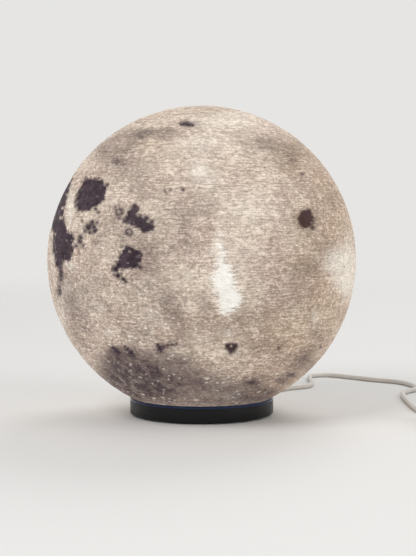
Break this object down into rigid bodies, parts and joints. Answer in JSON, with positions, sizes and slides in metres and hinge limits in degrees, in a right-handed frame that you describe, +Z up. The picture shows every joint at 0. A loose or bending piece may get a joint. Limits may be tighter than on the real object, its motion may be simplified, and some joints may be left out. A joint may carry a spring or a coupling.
{
  "type": "moon lamp",
  "caption": "Table lamp: a hollow lit globe of the Moon turns and lifts on a low round base, with a thin lead, inline rocker switch and USB plug.",
  "frame": {"origin": "middle of the base's underside, on the surface that the lamp stands on", "axes": "+Z up, -Y towards the viewer of the picture, +X to the right"},
  "size_m": [0.3162, 0.2946, 0.2006],
  "materials": {
    "housing_black": "fine satin texture",
    "base_steel": "zinc plated",
    "screw_steel": "bright",
    "foot_rubber": "soft matt",
    "glide_white": "slippery white",
    "post_aluminium": "satin",
    "nut_brass": "machined",
    "sink_aluminium": "as cast",
    "led_board_white": "white solder mask",
    "light_chip": "yellow phosphor",
    "diffuser_opal": "opal, glowing",
    "board_green": "green solder mask",
    "capacitor_blue": "sleeve",
    "inductor_copper": "enamelled copper",
    "chip_black": "moulded",
    "terminal_green": "moulded",
    "wire_red": "insulation",
    "wire_black": "insulation",
    "relief_white": "soft moulded",
    "ring_blue": "glossy dark blue",
    "globe_print": "printed in fine layers, lit from inside",
    "collar_black": "moulded",
    "cord_white": "smooth sheath",
    "tie_black": "hook and loop",
    "switch_white": "fine texture",
    "rocker_white": "polished",
    "contact_brass": "sheet",
    "plug_white": "moulded",
    "shell_steel": "nickel plated",
    "tongue_white": "moulded",
    "contact_gold": "gold plated"
  },
  "bodies": {
    "base": {"base_housing": "housing_black", "base_plate": "base_steel", "plate_screws": "screw_steel", "rubber_feet": "foot_rubber", "glide_ring": "glide_white", "light_post": "post_aluminium", "post_washer": "screw_steel", "post_nut": "nut_brass", "heat_sink": "sink_aluminium", "led_board": "led_board_white", "led_chips": "light_chip", "led_board_screws": "screw_steel", "diffuser": "diffuser_opal", "driver_board": "board_green", "driver_board_screws": "screw_steel", "driver_capacitors": "capacitor_blue", "driver_inductor": "inductor_copper", "driver_chip": "chip_black", "wire_terminal": "terminal_green", "supply_wires": "wire_red", "positive_wire": "wire_red", "negative_wire": "wire_black", "strain_relief": "relief_white", "lead_cord": "cord_white", "switch_cord": "cord_white", "plug_cord": "cord_white", "cord_coil": "cord_white", "coil_tie": "tie_black", "switch_case_bottom": "switch_white", "switch_case_top": "switch_white", "switch_contacts": "contact_brass", "switch_wires": "wire_red", "switch_screws": "screw_steel", "plug_body": "plug_white", "plug_shell": "shell_steel", "plug_tongue": "tongue_white", "plug_contacts": "contact_gold"},
    "ring": {"turn_ring": "ring_blue"},
    "globe": {"moon_globe": "globe_print", "globe_collar": "collar_black"},
    "rocker": {"switch_rocker": "rocker_white"}
  },
  "joints": [
    {"name": "globe_turn", "type": "hinge", "parent": "base", "child": "ring", "pos_m": [0, 0, 0.0097], "axis": [0, 0, 1], "continuous": true},
    {"name": "globe_lift", "type": "slide", "parent": "ring", "child": "globe", "axis": [0, 0, 1], "range_m": [0, 0.12]},
    {"name": "rocker_tilt", "type": "hinge", "parent": "base", "child": "rocker", "pos_m": [0.15, -0.055, 0.0082], "axis": [1, 0, 0], "range_deg": [0, 18]}
  ]
}
